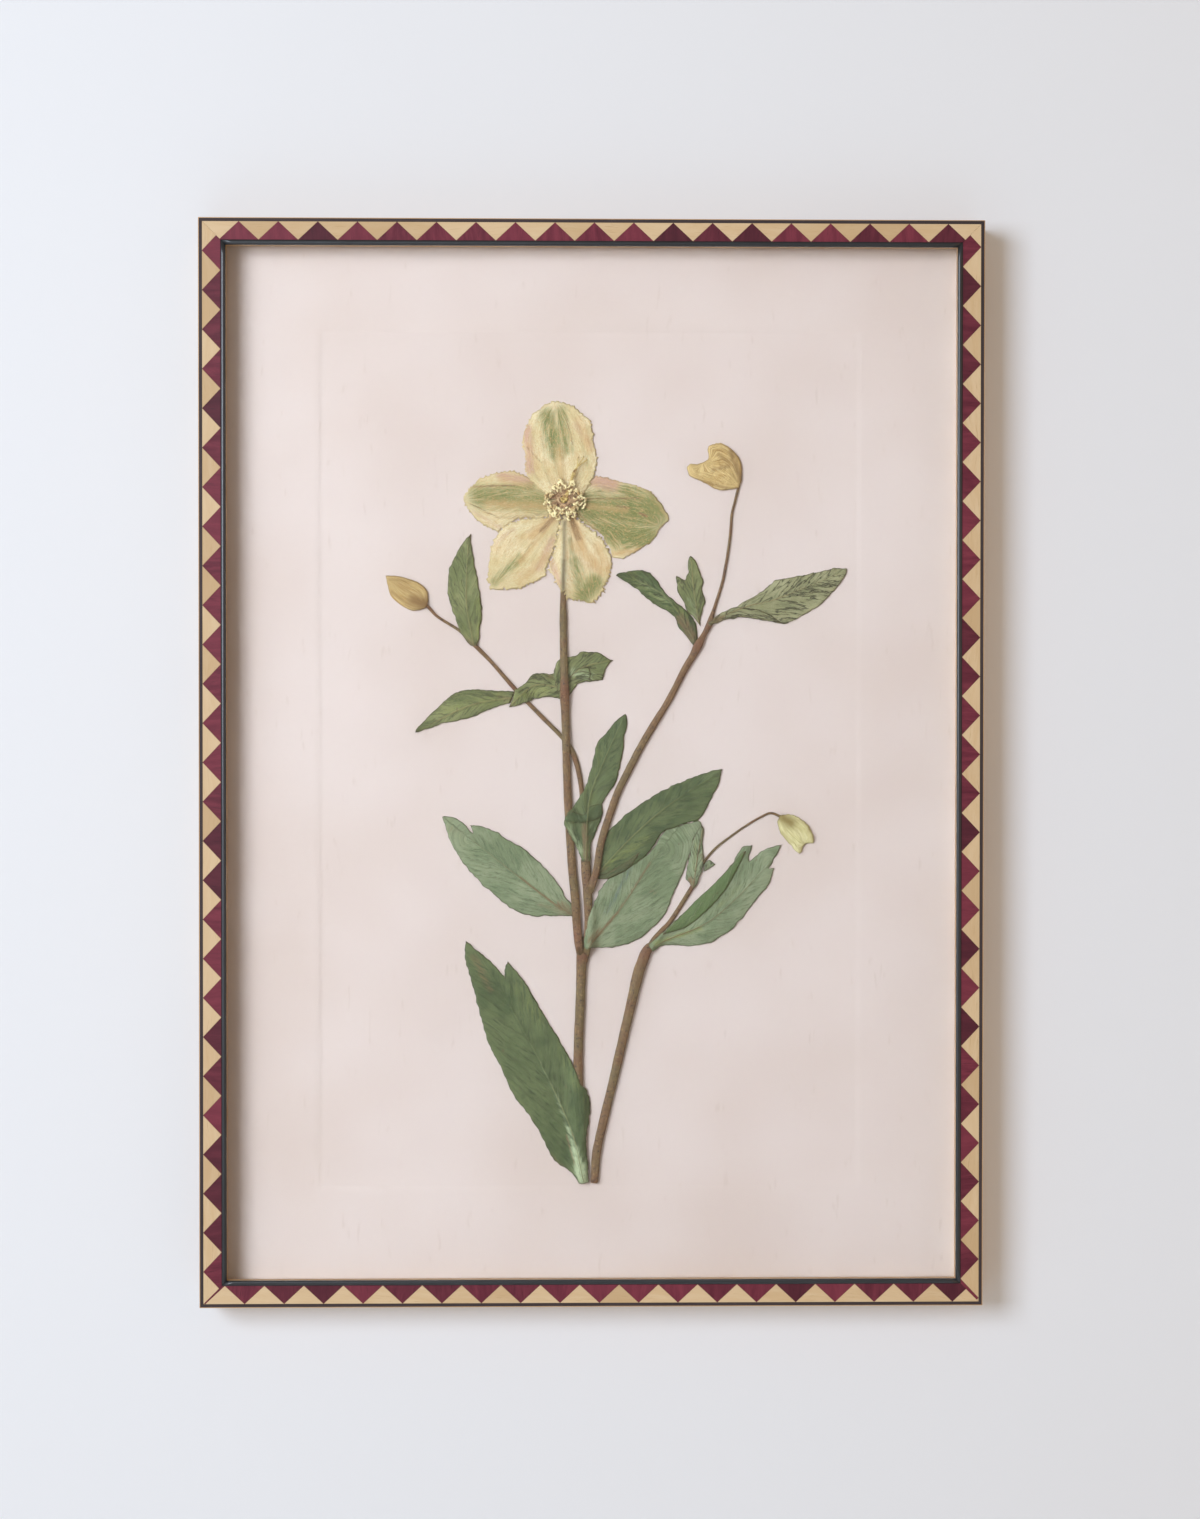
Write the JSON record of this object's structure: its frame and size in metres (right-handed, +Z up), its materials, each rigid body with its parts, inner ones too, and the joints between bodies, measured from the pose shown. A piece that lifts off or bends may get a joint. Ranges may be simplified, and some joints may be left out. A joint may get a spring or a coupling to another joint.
{
  "type": "pressed flower frame",
  "caption": "Pressed flowering stem with leaves and buds, mounted on paper behind glass in an upright wooden picture frame inlaid with rows of triangles.",
  "frame": {"origin": "the middle notch of the sawtooth hanger on the back, halfway through its plate, where the frame hangs on a nail", "axes": "+Z up the picture, -Y out of its face towards the viewer, +X to the viewer's right"},
  "size_m": [0.311, 0.0216, 0.431],
  "materials": {
    "rail_wood": "bare, lightly waxed",
    "dark_line": "dyed black stringing",
    "banding_veneer": "satin, triangles of tan and plum veneer",
    "bead_lacquer": "dark gloss lacquer",
    "spacer_wood": "bare",
    "pane": "clear, polished",
    "sheet_paper": "blush beige cotton paper with a plate mark",
    "backing_fibreboard": "pressed fibreboard",
    "fixing_steel": "zinc plated",
    "stem_skin": "dried stem, ribbed and speckled",
    "leaf_blade": "dried leaf, veined and wrinkled",
    "sepal_tissue": "dried petal, translucent and veined",
    "bud_tissue": "dried bud, wrinkled",
    "stamen_tissue": "dried anthers",
    "carpel_tissue": "dried styles"
  },
  "bodies": {
    "root": {"rail_top": "rail_wood", "rail_right": "rail_wood", "rail_bottom": "rail_wood", "rail_left": "rail_wood", "outer_line_top": "dark_line", "outer_line_right": "dark_line", "outer_line_bottom": "dark_line", "outer_line_left": "dark_line", "banding_top": "banding_veneer", "banding_right": "banding_veneer", "banding_bottom": "banding_veneer", "banding_left": "banding_veneer", "inner_bead_top": "bead_lacquer", "inner_bead_right": "bead_lacquer", "inner_bead_bottom": "bead_lacquer", "inner_bead_left": "bead_lacquer", "spacer_top": "spacer_wood", "spacer_right": "spacer_wood", "spacer_bottom": "spacer_wood", "spacer_left": "spacer_wood", "glass": "pane", "mount_sheet": "sheet_paper", "backing_board": "backing_fibreboard", "back_point_top": "fixing_steel", "back_point_right": "fixing_steel", "back_point_bottom": "fixing_steel", "back_point_left": "fixing_steel", "sawtooth_hanger": "fixing_steel", "main_stem": "stem_skin", "flower_stem": "stem_skin", "middle_stem": "stem_skin", "right_branch": "stem_skin", "left_branch": "stem_skin", "side_stem": "stem_skin", "side_branch": "stem_skin", "leaf_bottom": "leaf_blade", "leaf_left": "leaf_blade", "leaf_right_upper": "leaf_blade", "leaf_right_lower": "leaf_blade", "leaf_folded": "leaf_blade", "leaf_three_lobed": "leaf_blade", "leaf_centre": "leaf_blade", "leaf_left_narrow": "leaf_blade", "leaf_left_crumpled": "leaf_blade", "leaf_right_crumpled": "leaf_blade", "leaf_upper_left": "leaf_blade", "leaf_branch_left": "leaf_blade", "leaf_branch_small": "leaf_blade", "leaf_branch_right": "leaf_blade", "sepal_left": "sepal_tissue", "sepal_right": "sepal_tissue", "sepal_lower_left": "sepal_tissue", "sepal_lower_right": "sepal_tissue", "sepal_top": "sepal_tissue", "bud_left": "bud_tissue", "bud_top_right": "bud_tissue", "bud_lower_right": "bud_tissue", "stamens": "stamen_tissue", "carpels": "carpel_tissue"}
  },
  "joints": []
}
